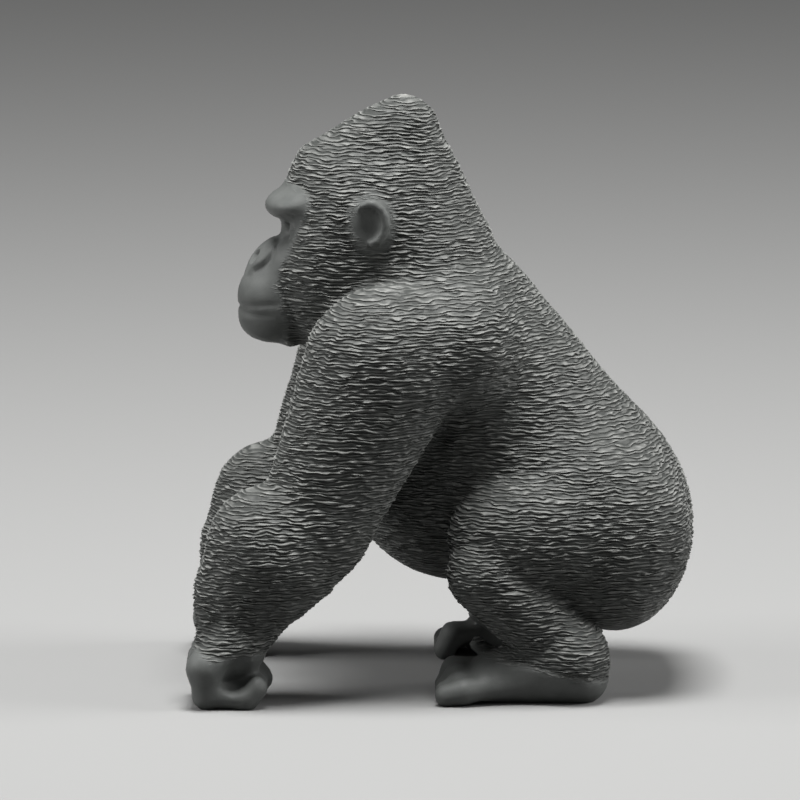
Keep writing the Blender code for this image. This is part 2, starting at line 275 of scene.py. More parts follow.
@dataclass(frozen=True)
class Torso:
    """Rump, loin, rib cage, chest, belly, shoulder yoke, haunches, neck and armpits."""

    rump: Place = (0.0178, 0.0160)
    rump_radii: Point = (0.0120, 0.0082, 0.0110)
    loin: Place = (0.0096, 0.0236)
    loin_radii: Point = (0.0112, 0.0104, 0.0110)
    thorax: Place = (0.0022, 0.0327)
    thorax_radii: Point = (0.0112, 0.0112, 0.0098)
    chest: Place = (-0.0034, 0.0300)
    chest_radii: Point = (0.0096, 0.0088, 0.0094)
    belly: Place = (0.0022, 0.0222)
    belly_radii: Point = (0.0100, 0.0122, 0.0120)
    yoke: Place = (-0.0003, 0.0394)
    yoke_radii: Point = (0.0088, 0.0077, 0.0043)
    yoke_lean: float = 20.0
    hip_side: float = 0.0092
    hip: Place = (0.0150, 0.0160)
    hip_radii: Point = (0.0052, 0.0092, 0.0084)
    neck_side: float = 0.0026
    neck: Place = (-0.0024, 0.0452)
    neck_foot_side: float = 0.0064
    neck_foot: Place = (0.0006, 0.0382)
    neck_radius: float = 0.0040
    blend: float = 0.0050
    armpit_side: float = 0.0124
    armpit_top: Place = (0.0022, 0.0322)
    armpit_top_radius: float = 0.0012
    armpit_foot: Place = (-0.0029, 0.0228)
    armpit_foot_radius: float = 0.0030
    armpit_blend: float = 0.0010

    def armpit(self) -> Limb:
        """Gives the armpit's hollow, behind the arm.

        Returns:
            The hollow of the left armpit.
        """
        top = (self.armpit_side, *self.armpit_top)
        foot = (self.armpit_side, *self.armpit_foot)
        return Limb(top, foot, self.armpit_top_radius, self.armpit_foot_radius, self.armpit_blend)

    def masses(self) -> list[Mass]:
        """Lays the torso's masses.

        Returns:
            The masses of the left half and the middle.
        """
        neck = (self.neck_side, *self.neck)
        neck_foot = (self.neck_foot_side, *self.neck_foot)
        return [
            Ball((0.0, *self.thorax), self.thorax_radii, self.blend),
            Ball((0.0, *self.loin), self.loin_radii, self.blend),
            Ball((0.0, *self.rump), self.rump_radii, self.blend),
            Ball((0.0, *self.chest), self.chest_radii, self.blend),
            Ball((0.0, *self.belly), self.belly_radii, self.blend),
            Ball((0.0, *self.yoke), self.yoke_radii, self.blend, self.yoke_lean),
            Ball((self.hip_side, *self.hip), self.hip_radii, self.blend),
            Limb(neck, neck_foot, self.neck_radius, self.neck_radius, self.blend),
        ]


@dataclass(frozen=True)
class Head:
    """Crest, skull, nape, cheeks and throat."""

    crest_top: Place = (-0.0042, 0.0583)
    crest_top_radius: float = 0.0010
    crest_front: Place = (-0.0113, 0.05205)
    crest_front_radius: float = 0.0037
    nape_top: Place = (-0.0027, 0.0565)
    nape_top_radius: float = 0.0028
    nape: Place = (-0.0011, 0.0458)
    nape_radius: float = 0.0061
    nape_squeeze: float = 1.2
    crown_top: Place = (-0.0064, 0.0544)
    crown_top_radius: float = 0.0032
    crown: Place = (-0.0081, 0.0495)
    crown_radius: float = 0.0058
    skull: Place = (-0.0070, 0.0484)
    skull_radii: Point = (0.0070, 0.0076, 0.0066)
    cheek_side: float = 0.0040
    cheek: Place = (-0.0108, 0.0424)
    cheek_radii: Point = (0.0037, 0.0048, 0.0062)
    throat: Place = (-0.0085, 0.0395)
    throat_radii: Point = (0.0062, 0.0068, 0.0070)
    blend: float = 0.0036
    neck_blend: float = 0.0030

    def masses(self) -> list[Mass]:
        """Lays the head's masses.

        Returns:
            The masses of the left half and the middle.
        """
        crest_top, crest_front = (0.0, *self.crest_top), (0.0, *self.crest_front)
        nape_top, nape = (0.0, *self.nape_top), (0.0, *self.nape)
        crown_top, crown = (0.0, *self.crown_top), (0.0, *self.crown)
        blend = self.blend
        return [
            Limb(crest_top, crest_front, self.crest_top_radius, self.crest_front_radius, blend),
            Limb(nape_top, nape, self.nape_top_radius, self.nape_radius, blend, self.nape_squeeze),
            Limb(crown_top, crown, self.crown_top_radius, self.crown_radius, blend),
            Ball((0.0, *self.skull), self.skull_radii, blend),
            Ball((self.cheek_side, *self.cheek), self.cheek_radii, blend),
            Ball((0.0, *self.throat), self.throat_radii, blend),
        ]


@dataclass(frozen=True)
class Face:
    """Brow ridge, eyes, nose, muzzle, mouth and chin, all of bare skin."""

    brow: Place = (-0.0146, 0.0492)
    brow_radii: Point = (0.0056, 0.0032, 0.0017)
    brow_lean: float = 8.5
    brow_blend: float = 0.0008
    muzzle: Place = (-0.0151, 0.0395)
    muzzle_radii: Point = (0.0050, 0.0055, 0.0045)
    nose: Place = (-0.01755, 0.0434)
    nose_radii: Point = (0.0031, 0.0014, 0.0028)
    nose_lean: float = -43.0
    nose_blend: float = 0.0005
    bridge_top: Place = (-0.0149, 0.0478)
    bridge_foot: Place = (-0.0151, 0.0456)
    bridge_radius: float = 0.0011
    cheekbone_side: float = 0.0024
    cheekbone: Place = (-0.0152, 0.0424)
    cheekbone_radii: Point = (0.0026, 0.0022, 0.0032)
    chin: Place = (-0.0172, 0.0371)
    chin_radii: Point = (0.0036, 0.0032, 0.0023)
    beard: Place = (-0.0152, 0.0357)
    beard_radii: Point = (0.0034, 0.0014, 0.0014)
    blend: float = 0.0012
    eye_side: float = 0.0031
    eye: Place = (-0.0152, 0.0465)
    eye_socket_radii: Point = (0.0016, 0.0009, 0.0008)
    eye_setback: float = 0.0009
    eye_radius: float = 0.0010
    eye_blend: float = 0.0006
    nostril_side: float = 0.0013
    nostril: Place = (-0.01885, 0.0437)
    nostril_radii: Point = (0.0007, 0.00042, 0.00085)
    nostril_lean: float = -38.0
    nostril_blend: float = 0.0002
    wing: tuple[Point, ...] = (
        (0.0025, -0.0187, 0.0425), (0.0030, -0.0179, 0.0430),
        (0.0031, -0.0173, 0.0436), (0.0028, -0.0168, 0.0444),
        (0.0020, -0.0166, 0.0452), (0.0010, -0.0164, 0.0455),
    )
    wing_width: float = 0.00030
    wing_depth: float = 0.00024
    mouth: tuple[Point, ...] = (
        (0.0000, -0.0206, 0.0385), (0.0025, -0.0197, 0.0388),
        (0.0038, -0.0186, 0.0390), (0.0045, -0.0175, 0.0392),
        (0.0048, -0.0166, 0.0393),
    )
    mouth_width: float = 0.00026
    mouth_depth: float = 0.00022
    lower_lip: tuple[Point, ...] = (
        (0.0016, -0.0203, 0.0383), (0.0024, -0.0198, 0.0382),
        (0.0034, -0.0190, 0.0381), (0.0039, -0.0181, 0.0380),
        (0.0043, -0.0171, 0.0380),
    )
    lower_lip_depth: float = 0.00020
    edge: tuple[Place, ...] = (
        (-0.0156, 0.0350), (-0.0154, 0.0376), (-0.0159, 0.0392),
        (-0.0164, 0.0407), (-0.0163, 0.0423), (-0.0158, 0.0436),
        (-0.0151, 0.0449), (-0.0146, 0.0464), (-0.0134, 0.0488),
        (-0.0133, 0.0500), (-0.0141, 0.0511), (-0.0158, 0.0516),
    )
    top: float = 0.0516

    def masses(self) -> list[Mass]:
        """Lays the face's masses.

        Returns:
            The masses of the left half and the middle.
        """
        bridge_top, bridge_foot = (0.0, *self.bridge_top), (0.0, *self.bridge_foot)
        radius, nose = self.bridge_radius, (0.0, *self.nose)
        return [
            Ball((0.0, *self.muzzle), self.muzzle_radii, self.blend),
            Ball((self.cheekbone_side, *self.cheekbone), self.cheekbone_radii, self.blend),
            Ball((0.0, *self.brow), self.brow_radii, self.brow_blend, self.brow_lean),
            Limb(bridge_top, bridge_foot, radius, radius, self.brow_blend),
            Ball(nose, self.nose_radii, self.nose_blend, self.nose_lean),
            Ball((0.0, *self.chin), self.chin_radii, self.blend),
            Ball((0.0, *self.beard), self.beard_radii, self.nose_blend),
        ]

    def hollows(self) -> list[Mass]:
        """Gives the eye sockets and nostrils.

        Returns:
            The hollows of the face's left half.
        """
        nostril = (self.nostril_side, *self.nostril)
        return [
            Ball((self.eye_side, *self.eye), self.eye_socket_radii, self.eye_blend),
            Ball(nostril, self.nostril_radii, self.nostril_blend, self.nostril_lean),
        ]

    def eyeball(self) -> Ball:
        """Gives the eyeball, set back in its socket."""
        centre = (self.eye_side, self.eye[0] + self.eye_setback, self.eye[1])
        return Ball(centre, (self.eye_radius,) * 3, self.eye_blend)

    def grooves(self) -> list[Groove]:
        """Gives the closed lips' line, the lower lip's edge and the crease round the nose.

        Returns:
            The grooves of the face's left half.
        """
        return [
            Groove(self.mouth, self.mouth_width, self.mouth_depth),
            Groove(self.lower_lip, self.mouth_width, self.lower_lip_depth),
            Groove(self.wing, self.wing_width, self.wing_depth),
        ]

    def bareness(self, points: Rows) -> Rows:
        """Finds the bare skin of the face.

        Args:
            points: One place a row.

        Returns:
            Distance of each place to the hair line, less than nothing on bare skin.
        """
        depths, heights = np.array(self.edge).T
        line = np.interp(points[:, 2], heights, depths)
        below = heights[0] - points[:, 2]
        return np.maximum(np.maximum(points[:, 1] - line, points[:, 2] - self.top), below)


@dataclass(frozen=True)
class Ear:
    """A thin leaf of bare skin with a bowl and a rolled rim."""

    side: float = 0.0071
    middle: Place = (-0.0070, 0.0480)
    radii: Point = (0.0006, 0.0014, 0.0020)
    rim_radius: float = 0.00036
    rim_start: float = -85.0
    rim_end: float = 150.0
    rim_points: int = 10
    flare: float = 0.0010
    blend: float = 0.0004
    hollow_radii: Point = (0.0013, 0.0013, 0.0016)
    hollow_ahead: float = 0.0006
    bare_reach: float = 0.0007

    def masses(self) -> list[Mass]:
        """Lays the leaf and its rolled rim.

        Returns:
            The masses of the left ear.
        """
        centre = Vector((self.side, *self.middle))
        _, deep, high = self.radii
        turns = np.radians(np.linspace(self.rim_start, self.rim_end, self.rim_points))
        rim = [centre + Vector((self.flare, deep * math.cos(t), high * math.sin(t))) for t in turns]
        rolled = [
            Limb(tuple(start), tuple(end), self.rim_radius, self.rim_radius, self.blend)
            for start, end in pairwise(rim)
        ]
        return [Ball(tuple(centre), self.radii, self.blend), *rolled]

    def hollows(self) -> list[Mass]:
        """Gives the bowl of the ear."""
        middle = (self.side + self.flare, self.middle[0] - self.hollow_ahead, self.middle[1])
        return [Ball(middle, self.hollow_radii, self.blend)]

    def bareness(self, points: Rows) -> Rows:
        """Finds the bare skin of the ear.

        Args:
            points: One place a row.

        Returns:
            Distance of each place to the ear's edge, less than nothing on it.
        """
        return melt(self.masses(), points) - self.bare_reach


@dataclass(frozen=True)
class Arm:
    """Shoulder with collar and blade, upper arm, and the heavy forearm down to the wrist."""

    shoulder_side: float = 0.0110
    shoulder: Place = (-0.0060, 0.0336)
    shoulder_radius: float = 0.0081
    elbow_side: float = 0.0126
    elbow: Place = (-0.0121, 0.0196)
    elbow_radius: float = 0.0060
    forearm_side: float = 0.0130
    forearm_top: Place = (-0.0126, 0.0170)
    forearm_top_radius: float = 0.0050
    forearm: Place = (-0.0168, 0.0152)
    forearm_radius: float = 0.0068
    forearm_low: Place = (-0.0197, 0.0110)
    forearm_low_radius: float = 0.0050
    wrist_side: float = 0.0136
    wrist: Place = (-0.0212, 0.0062)
    wrist_radius: float = 0.0038
    collar_side: float = 0.0112
    collar: Place = (-0.0050, 0.0374)
    collar_radii: Point = (0.0030, 0.0058, 0.0046)
    blade_side: float = 0.0092
    blade: Place = (0.0025, 0.0355)
    blade_radii: Point = (0.0055, 0.0050, 0.0057)
    blade_blend: float = 0.0028
    squeeze: float = 0.78
    shoulder_blend: float = 0.0013
    blend: float = 0.0016

    def masses(self) -> list[Mass]:
        """Lays the arm's masses, all but the shoulder blade.

        Returns:
            The masses of the left arm, from the shoulder down, and its collar.
        """
        stations = [
            ((self.shoulder_side, *self.shoulder), self.shoulder_radius),
            ((self.elbow_side, *self.elbow), self.elbow_radius),
            ((self.forearm_side, *self.forearm_top), self.forearm_top_radius),
            ((self.forearm_side, *self.forearm), self.forearm_radius),
            ((self.forearm_side, *self.forearm_low), self.forearm_low_radius),
            ((self.wrist_side, *self.wrist), self.wrist_radius),
        ]
        pairs = [*pairwise(stations[:2]), *pairwise(stations[2:])]
        limbs = [Limb(a, b, ra, rb, self.blend, self.squeeze) for (a, ra), (b, rb) in pairs]
        return [*limbs, Ball((self.collar_side, *self.collar), self.collar_radii, self.blend)]

    def blade_mass(self) -> Ball:
        """Gives the shoulder blade, which joins the arm smoothly to the back."""
        return Ball((self.blade_side, *self.blade), self.blade_radii, self.blade_blend)


@dataclass(frozen=True)
class Hand:
    """Back of the hand, four fingers folded under the palm, and a thumb."""

    side: float = 0.0136
    wrist: Place = (-0.0212, 0.0062)
    knuckle: Place = (-0.0236, 0.0040)
    knuckle_radius: float = 0.0018
    finger_count: int = 4
    finger_spacing: float = 0.0019
    finger_radius: float = 0.0012
    finger_bend: Place = (-0.0236, 0.0013)
    finger_turn: Place = (-0.0196, 0.0011)
    finger_tip: Place = (-0.0186, 0.0021)
    palm_radius: float = 0.0027
    thumb_side: float = 0.0110
    thumb_root: Place = (-0.0200, 0.0048)
    thumb_tip: Place = (-0.0182, 0.0020)
    thumb_radius: float = 0.0012
    blend: float = 0.0008
    hollow_side: float = 0.0178
    hollow: Place = (-0.0203, 0.0036)
    hollow_radii: Point = (0.0036, 0.0014, 0.0020)
    hollow_lean: float = -32.0
    crease: tuple[Place, ...] = (
        (-0.0236, 0.0058), (-0.0253, 0.0041), (-0.0249, 0.0012),
        (-0.0218, 0.0000),
    )
    crease_width: float = 0.00045
    crease_depth: float = 0.00050
    bare_top: float = 0.0052
    bare_rise: float = 0.0011
    bare_front: float = -0.0232
    bare_run: float = 0.0020
    bare_back: float = -0.0140

    def masses(self) -> list[Mass]:
        """Lays the palm, fingers and thumb.

        Returns:
            The masses of the left hand.
        """
        middle = (self.finger_count - 1) / 2
        palm, knuckle, finger = self.palm_radius, self.knuckle_radius, self.finger_radius
        masses: list[Mass] = []
        for index in range(self.finger_count):
            offset = (index - middle) * self.finger_spacing
            root = (self.side + offset / 2, *self.wrist)
            joints = (self.knuckle, self.finger_bend, self.finger_turn, self.finger_tip)
            first, bend, turn, tip = [(self.side + offset, *joint) for joint in joints]
            masses += [
                Limb(root, first, palm, knuckle, self.blend),
                Limb(first, bend, knuckle, finger, self.blend),
                Limb(bend, turn, finger, finger, self.blend),
                Limb(turn, tip, finger, finger, self.blend),
            ]
        thumb_root = (self.thumb_side, *self.thumb_root)
        thumb_tip = (self.thumb_side, *self.thumb_tip)
        masses.append(Limb(thumb_root, thumb_tip, self.thumb_radius, self.thumb_radius, self.blend))
        return masses

    def hollows(self) -> list[Mass]:
        """Gives the dark hollow between palm and folded fingers, open outwards."""
        centre = (self.hollow_side, *self.hollow)
        return [Ball(centre, self.hollow_radii, self.blend, self.hollow_lean)]

    def grooves(self) -> list[Groove]:
        """Gives the creases between the fingers.

        Returns:
            The grooves of the left hand.
        """
        gaps = range(1, self.finger_count)
        sides = [self.side + (gap - self.finger_count / 2) * self.finger_spacing for gap in gaps]
        lines = [tuple((side, *place) for place in self.crease) for side in sides]
        return [Groove(line, self.crease_width, self.crease_depth) for line in lines]

    def bareness(self, points: Rows) -> Rows:
        """Finds the bare skin of the hand.

        Args:
            points: One place a row.

        Returns:
            Distance of each place to the cuff of the coat, less than nothing below it.
        """
        ahead = np.clip((self.bare_front - points[:, 1]) / self.bare_run, 0.0, 1.0)
        cuff = points[:, 2] - self.bare_top - self.bare_rise * ahead
        return np.maximum(cuff, points[:, 1] - self.bare_back)


@dataclass(frozen=True)
class Leg:
    """Thigh folded along the belly, knee, and shank running back to the ankle."""

    thigh_side: float = 0.0109
    thigh: Place = (0.0092, 0.0166)
    thigh_radii: Point = (0.0051, 0.0086, 0.0064)
    knee_side: float = 0.0124
    knee: Place = (0.0046, 0.0130)
    knee_radius: float = 0.0041
    ankle_side: float = 0.0120
    ankle: Place = (0.0134, 0.0044)
    ankle_radius: float = 0.0036
    squeeze: float = 0.95
    thigh_blend: float = 0.0012
    shank_blend: float = 0.0007

    def thigh_mass(self) -> Ball:
        """Gives the thigh."""
        return Ball((self.thigh_side, *self.thigh), self.thigh_radii, self.thigh_blend)

    def shank_mass(self) -> Limb:
        """Gives the shank, from knee to ankle.

        Returns:
            The left shank.
        """
        knee, ankle = (self.knee_side, *self.knee), (self.ankle_side, *self.ankle)
        radii = (self.knee_radius, self.ankle_radius)
        return Limb(knee, ankle, *radii, self.shank_blend, self.squeeze)


@dataclass(frozen=True)
class Foot:
    """Heel, sole, four curled toes and the big toe standing off inside them."""

    side: float = 0.0120
    ankle: Place = (0.0134, 0.0044)
    ankle_radius: float = 0.0036
    heel: Place = (0.0142, 0.0024)
    heel_radius: float = 0.0028
    ball: Place = (0.0048, 0.0020)
    ball_radius: float = 0.0023
    instep: Place = (0.0052, 0.0034)
    instep_radius: float = 0.0017
    squeeze: float = 1.25
    toe_count: int = 4
    toe_spacing: float = 0.0020
    toe_gather: float = 0.6
    toe_radius: float = 0.00115
    inner_toe_root: Place = (0.0046, 0.0030)
    outer_toe_root: Place = (0.0066, 0.0018)
    inner_toe_bend: Place = (0.0014, 0.0026)
    outer_toe_bend: Place = (0.0024, 0.0014)
    toe_tip: Place = (0.0006, 0.0010)
    big_toe_side: float = 0.0082
    big_toe_root: Place = (0.0060, 0.0034)
    big_toe_tip: Place = (0.0038, 0.0050)
    big_toe_radius: float = 0.0008
    blend: float = 0.0010
    toe_blend: float = 0.0007
    bare_front: float = 0.0031
    bare_top: float = 0.0051
    bare_slope: float = 0.22
    bare_reach: float = -0.0030

    def sole_masses(self) -> list[Mass]:
        """Gives heel, sole and instep.

        Returns:
            The masses of the left foot behind its toes.
        """
        heel, ball = (self.side, *self.heel), (self.side, *self.ball)
        ankle, instep = (self.side, *self.ankle), (self.side, *self.instep)
        return [
            Limb(heel, ball, self.heel_radius, self.ball_radius, self.blend, self.squeeze),
            Limb(ankle, instep, self.ankle_radius, self.instep_radius, self.blend, self.squeeze),
        ]

    def toe_masses(self) -> list[Mass]:
        """Lays the toes, lower towards the outer side.

        Returns:
            The masses of the left foot's toes.
        """
        masses: list[Mass] = []
        last = self.toe_count - 1
        for toe in range(self.toe_count):
            share = toe / last
            spread = (share - 0.5) * last * self.toe_spacing
            side, root_side = self.side + spread, self.side + spread * self.toe_gather
            root = (root_side, *between(self.inner_toe_root, self.outer_toe_root, share))
            bend = (side, *between(self.inner_toe_bend, self.outer_toe_bend, share))
            for start, end in pairwise((root, bend, (side, *self.toe_tip))):
                masses.append(Limb(start, end, self.toe_radius, self.toe_radius, self.toe_blend))
        root = (self.big_toe_side, *self.big_toe_root)
        tip = (self.big_toe_side, *self.big_toe_tip)
        masses.append(Limb(root, tip, self.big_toe_radius, self.big_toe_radius, self.toe_blend))
        return masses

    def bareness(self, points: Rows) -> Rows:
        """Finds the bare skin of the foot.

        Args:
            points: One place a row.

        Returns:
            Distance of each place to the coat's hem, less than nothing below it.
        """
        back = points[:, 1] - self.bare_front
        hem = points[:, 2] - self.bare_top + self.bare_slope * back
        return np.maximum(hem, self.bare_reach - points[:, 1])


@dataclass
class Wiring:
    """Lays and links the nodes of one node tree, of a material or of a mesh."""

    tree: bpy.types.NodeTree

    def add(self, kind: str, **settings: object) -> bpy.types.Node:
        """Adds a node.

        Args:
            kind: The node's type.
            settings: Its own settings by name.

        Returns:
            The node.
        """
        node = self.tree.nodes.new(kind)
        for name, value in settings.items():
            setattr(node, name, value)
        return node

    def feed(self, socket: Socket, value: object) -> None:
        """Links a socket into this one, or sets it to a plain value.

        Args:
            socket: The socket that is fed.
            value: A socket or a plain value.
        """
        if isinstance(value, Socket):
            self.tree.links.new(value, socket)
        else:
            socket.default_value = value

    def work(self, kind: str, *values: object, **settings: object) -> Socket:
        """Adds a node and feeds it its values in order.

        Args:
            kind: The node's type.
            values: Sockets or plain values.
            settings: The node's own settings by name.

        Returns:
            The result's socket.
        """
        node = self.add(kind, **settings)
        for socket, value in zip(node.inputs, values):
            self.feed(socket, value)
        return next(socket for socket in node.outputs if socket.enabled)

    def math(self, operation: str, *values: object, clamp: bool = False) -> Socket:
        """Adds a sum on numbers, kept from nothing to one if it is clamped."""
        return self.work("ShaderNodeMath", *values, operation=operation, use_clamp=clamp)

    def vector(self, operation: str, *values: object) -> Socket:
        """Adds a sum on vectors."""
        return self.work("ShaderNodeVectorMath", *values, operation=operation)

    def mix(self, share: object, first: object, second: object) -> Socket:
        """Adds a mix of two colours.

        Args:
            share: How much of the second colour shows.
            first: A socket or a plain colour.
            second: A socket or a plain colour.

        Returns:
            The mixed colour's socket.
        """
        node = self.add("ShaderNodeMix", data_type="RGBA")
        self.feed(node.inputs["Factor"], share)
        sockets = [socket for socket in node.inputs if socket.enabled and socket.type == "RGBA"]
        for socket, value in zip(sockets, (first, second)):
            self.feed(socket, (*value, 1.0) if isinstance(value, tuple) else value)
        return next(socket for socket in node.outputs if socket.enabled)

    def noise(self, place: Socket, size: Point, detail: float = 0.0) -> Socket:
        """Adds soft noise.

        Args:
            place: Where it is read, in metres.
            size: Its length along each axis, in metres.
            detail: How many finer layers it holds.

        Returns:
            The noise, about one half.
        """
        node = self.add("ShaderNodeTexNoise", noise_dimensions="3D")
        scale = tuple(1.0 / length for length in size)
        self.feed(node.inputs["Vector"], self.vector("MULTIPLY", place, scale))
        node.inputs["Scale"].default_value = 1.0
        node.inputs["Detail"].default_value = detail
        return node.outputs[0]


@dataclass(frozen=True)
class Coat:
    """The combed coat: level strands with sharp crests, which wander, branch and end."""

    pitch: float = 0.00034
    wander_size: Point = (0.0032, 0.0032, 0.0032)
    wander: float = 1.6
    ripple_size: Point = (0.0012, 0.0012, 0.00030)
    ripple: float = 1.4
    strand_length: float = 0.0013
    strand_height: float = 0.00040
    contrast: float = 2.5
    usual: float = 0.6
    weakest: float = 0.4
    sharpness: float = 1.1
    depth: float = 0.00029
    ragged: float = 1.0

    def height(self, wiring: Wiring, place: Socket) -> Socket:
        """Lays the nodes that give the coat's height.

        Args:
            wiring: The tree they are laid in.
            place: Where the coat is read, in metres.

        Returns:
            Height, from nothing between strands to one on a crest.
        """
        split = wiring.add("ShaderNodeSeparateXYZ")
        wiring.feed(split.inputs[0], place)
        turns = wiring.math("MULTIPLY", split.outputs["Z"], 1.0 / self.pitch)
        shifts = ((self.wander_size, self.wander), (self.ripple_size, self.ripple))
        for size, reach in shifts:
            drift = wiring.math("SUBTRACT", wiring.noise(place, size), 0.5)
            turns = wiring.math("MULTIPLY_ADD", drift, reach, turns)
        wave = wiring.math("SINE", wiring.math("MULTIPLY", turns, math.tau))
        crest = wiring.math("POWER", wiring.math("MULTIPLY_ADD", wave, 0.5, 0.5), self.sharpness)
        size = (self.strand_length, self.strand_length, self.strand_height)
        strength = wiring.math("SUBTRACT", wiring.noise(place, size), 0.5)
        strength = wiring.math("MULTIPLY_ADD", strength, self.contrast, self.usual, clamp=True)
        strength = wiring.math("MAXIMUM", strength, self.weakest)
        return wiring.math("MULTIPLY", crest, strength)

    def cover(self, wiring: Wiring, height: Socket, bare: Socket) -> Socket:
        """Lays the nodes that end the coat raggedly at bare skin.

        Args:
            wiring: The tree they are laid in.
            height: The coat's height.
            bare: Share of bare skin.

        Returns:
            Share of coat, from nothing on bare skin to one.
        """
        covered = wiring.math("SUBTRACT", 1.0, bare)
        valley = wiring.math("MULTIPLY", wiring.math("SUBTRACT", height, 1.0), self.ragged)
        return wiring.math("MULTIPLY_ADD", covered, 1.0 + self.ragged, valley, clamp=True)

    def comb(self, figure: Object) -> None:
        """Combs the coat into the figure's mesh, level, and never out past the skin.

        Args:
            figure: The figure, whose mesh holds the share of bare skin.
        """
        tree = bpy.data.node_groups.new("comb", "GeometryNodeTree")
        for way in ("INPUT", "OUTPUT"):
            tree.interface.new_socket("Geometry", in_out=way, socket_type="NodeSocketGeometry")
        wiring = Wiring(tree)
        place = wiring.add("GeometryNodeInputPosition").outputs[0]
        normal = wiring.add("GeometryNodeInputNormal").outputs[0]
        named = wiring.add("GeometryNodeInputNamedAttribute", data_type="FLOAT")
        named.inputs["Name"].default_value = BARE
        bare = named.outputs["Attribute"]
        height = self.height(wiring, place)
        share = self.cover(wiring, height, bare)
        sink = wiring.math("MULTIPLY", wiring.math("SUBTRACT", height, 1.0), self.depth)
        sink = wiring.math("MULTIPLY", sink, share)
        level = wiring.vector("MULTIPLY", normal, (1.0, 1.0, 0.0))
        move = wiring.add("GeometryNodeSetPosition")
        wiring.feed(move.inputs["Geometry"], wiring.add("NodeGroupInput").outputs[0])
        wiring.feed(move.inputs["Offset"], wiring.vector("MULTIPLY", level, sink))
        wiring.feed(wiring.add("NodeGroupOutput").inputs[0], move.outputs[0])
        comb = figure.modifiers.new("Comb", "NODES")
        comb.node_group = tree
        Clay.apply_modifiers(figure)
        bpy.data.node_groups.remove(tree)


@dataclass
class Clay:
    """One closed skin that is drawn onto the masses' melted surface."""

    rough_step: float = 0.0005
    fine_step: float = 0.00026
    upright: float = 3.0
    fitting_steps: int = 4
    weld: float = 1e-6
    bare_share: float = 0.5
    most_triangles: int = 196000

    @staticmethod
    def apply_modifiers(figure: Object) -> None:
        """Makes the modified shape the object's own mesh.

        Args:
            figure: The piece.
        """
        graph = bpy.context.evaluated_depsgraph_get()
        shaped = bpy.data.meshes.new_from_object(figure.evaluated_get(graph))
        rough = figure.data
        figure.modifiers.clear()
        figure.data = shaped
        bpy.data.meshes.remove(rough)

    def lay(self, node: Object, name: str) -> Object:
        """Starts the skin as a closed copy of the plain casting.

        Args:
            node: The plain casting.
            name: The new piece's name.

        Returns:
            The new piece.
        """
        shape = bmesh.new()
        shape.from_mesh(node.data)
        bmesh.ops.remove_doubles(shape, verts=list(shape.verts), dist=self.weld)
        mesh = bpy.data.meshes.new(name)
        shape.to_mesh(mesh)
        shape.free()
        return add_object(name, mesh)

    def reskin(self, figure: Object, step: float, upright: float = 1.0) -> None:
        """Lays one even net over the piece.

        Args:
            figure: The piece.
            step: The net's step.
            upright: How many times finer the net is from level to level.
        """
        figure.data.transform(Matrix.Diagonal((1.0, 1.0, upright, 1.0)))
        skin = figure.modifiers.new("Skin", "REMESH")
        skin.mode = "VOXEL"
        skin.voxel_size = step
        self.apply_modifiers(figure)
        figure.data.transform(Matrix.Diagonal((1.0, 1.0, 1.0 / upright, 1.0)))

    def fit(self, figure: Object, sculpt: "Sculpt", steps: int = 1) -> None:
        """Draws every vertex along its normal onto the sculpt's surface.

        Args:
            figure: The piece.
            sculpt: The masses.
            steps: How many times it is drawn.
        """
        mesh = figure.data
        for _ in range(steps):
            places = read_vertices(mesh, "co")
            gap = np.clip(sculpt.surface(places), -self.rough_step, self.rough_step)
            places -= gap[:, None] * read_vertices(mesh, "normal")
            mesh.vertices.foreach_set("co", places.ravel())
            mesh.update()

    def mark_bare(self, figure: Object, sculpt: "Sculpt") -> None:
        """Writes each vertex's share of bare skin into the mesh.

        Args:
            figure: The piece.
            sculpt: The masses.
        """
        mesh = figure.data
        share = sculpt.bare(read_vertices(mesh, "co"))
        found = mesh.attributes.get(BARE) or mesh.attributes.new(BARE, "FLOAT", "POINT")
        found.data.foreach_set("value", share.astype(np.float32))

    def level(self, figure: Object) -> None:
        """Cuts hands and feet off flat at the ground and closes the cuts.

        Args:
            figure: The piece.
        """
        shape = bmesh.new()
        shape.from_mesh(figure.data)
        cut = bmesh.ops.bisect_plane(
            shape,
            geom=[*shape.verts, *shape.edges, *shape.faces],
            plane_co=(0.0, 0.0, 0.0),
            plane_no=(0.0, 0.0, 1.0),
            clear_inner=True,
        )
        edges = [item for item in cut["geom_cut"] if isinstance(item, bmesh.types.BMEdge)]
        bmesh.ops.edgeloop_fill(shape, edges=edges)
        bmesh.ops.triangulate(shape, faces=list(shape.faces))
        shape.to_mesh(figure.data)
        shape.free()

    def smooth_skin(self, figure: Object) -> None:
        """Shades bare skin smooth and leaves the coat's strands crisp.

        Args:
            figure: The piece.
        """
        mesh = figure.data
        share = np.empty(len(mesh.vertices), np.float32)
        mesh.attributes[BARE].data.foreach_get("value", share)
        corners = np.empty(len(mesh.loops), np.int32)
        mesh.loops.foreach_get("vertex_index", corners)
        smooth = share[corners].reshape(-1, 3).min(axis=1) > self.bare_share
        mesh.polygons.foreach_set("use_smooth", smooth)
        mesh.update()

    def thin(self, figure: Object) -> None:
        """Leaves out vertices where the surface is nearly flat.

        Args:
            figure: The piece.
        """
        total = sum(len(face.vertices) - 2 for face in figure.data.polygons)
        if total > self.most_triangles:
            thinner = figure.modifiers.new("Thin", "DECIMATE")
            thinner.ratio = self.most_triangles / total
            self.apply_modifiers(figure)


